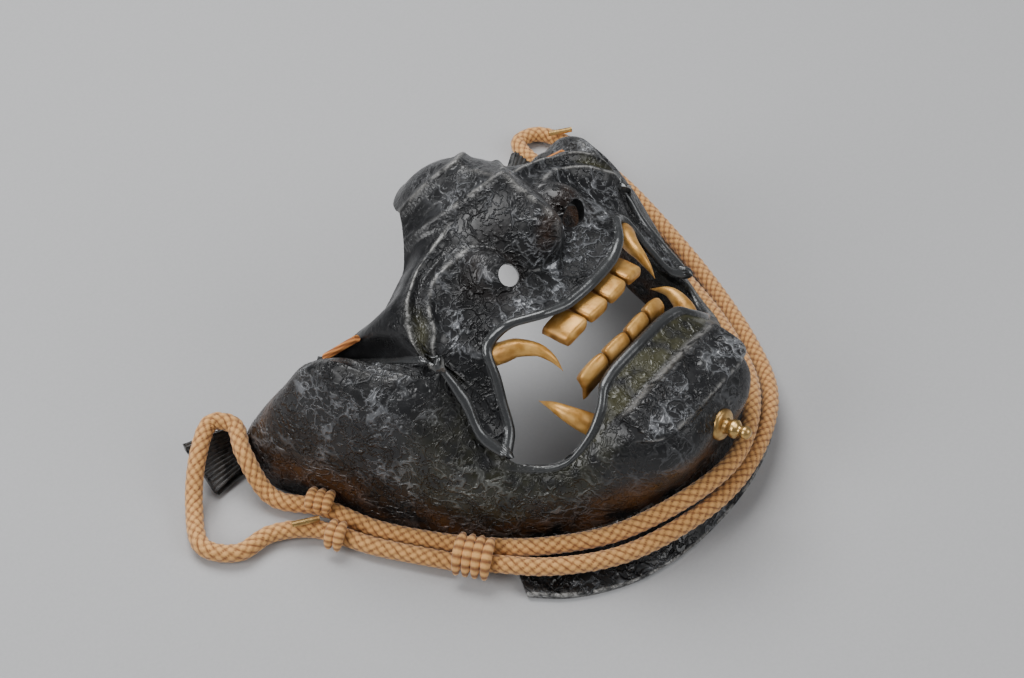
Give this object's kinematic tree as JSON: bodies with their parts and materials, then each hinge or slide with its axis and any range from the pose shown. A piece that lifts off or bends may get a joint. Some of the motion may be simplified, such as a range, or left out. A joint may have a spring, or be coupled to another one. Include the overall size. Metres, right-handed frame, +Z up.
{
  "type": "samurai face guard",
  "caption": "Fierce half mask face guard lying face up, with snarling nose, gilt teeth and fangs, throat plate and a doubled tie cord laid round the chin.",
  "frame": {"origin": "middle of the footprint, on the floor", "axes": "+X to one ear, +Y from the chin to the bridge of the nose, +Z up out of the face"},
  "size_m": [0.2356, 0.1685, 0.0994],
  "materials": {
    "lacquer": "semi-gloss black over sculpted relief, dry-brushed silver grey",
    "gilt": "satin old gold with brown wash",
    "brass": "worn brass",
    "braid": "matte tan round braid",
    "lace": "matte orange lace"
  },
  "bodies": {
    "root": {"upper_face": "lacquer", "jaw_shell": "lacquer", "throat_plate": "lacquer", "ear_tab_near": "lacquer", "ear_tab_far": "lacquer", "upper_teeth": "gilt", "lower_teeth": "gilt", "upper_fang_near": "gilt", "upper_fang_far": "gilt", "lower_fang_near": "gilt", "lower_fang_far": "gilt", "chin_peg": "brass", "pin_near": "brass", "pin_far": "brass", "tie_cord": "braid", "knot_chin": "braid", "knot_cheek": "braid", "knot_floor": "braid", "lace_stitch_near": "lace", "lace_stitch_far": "lace"}
  },
  "joints": []
}
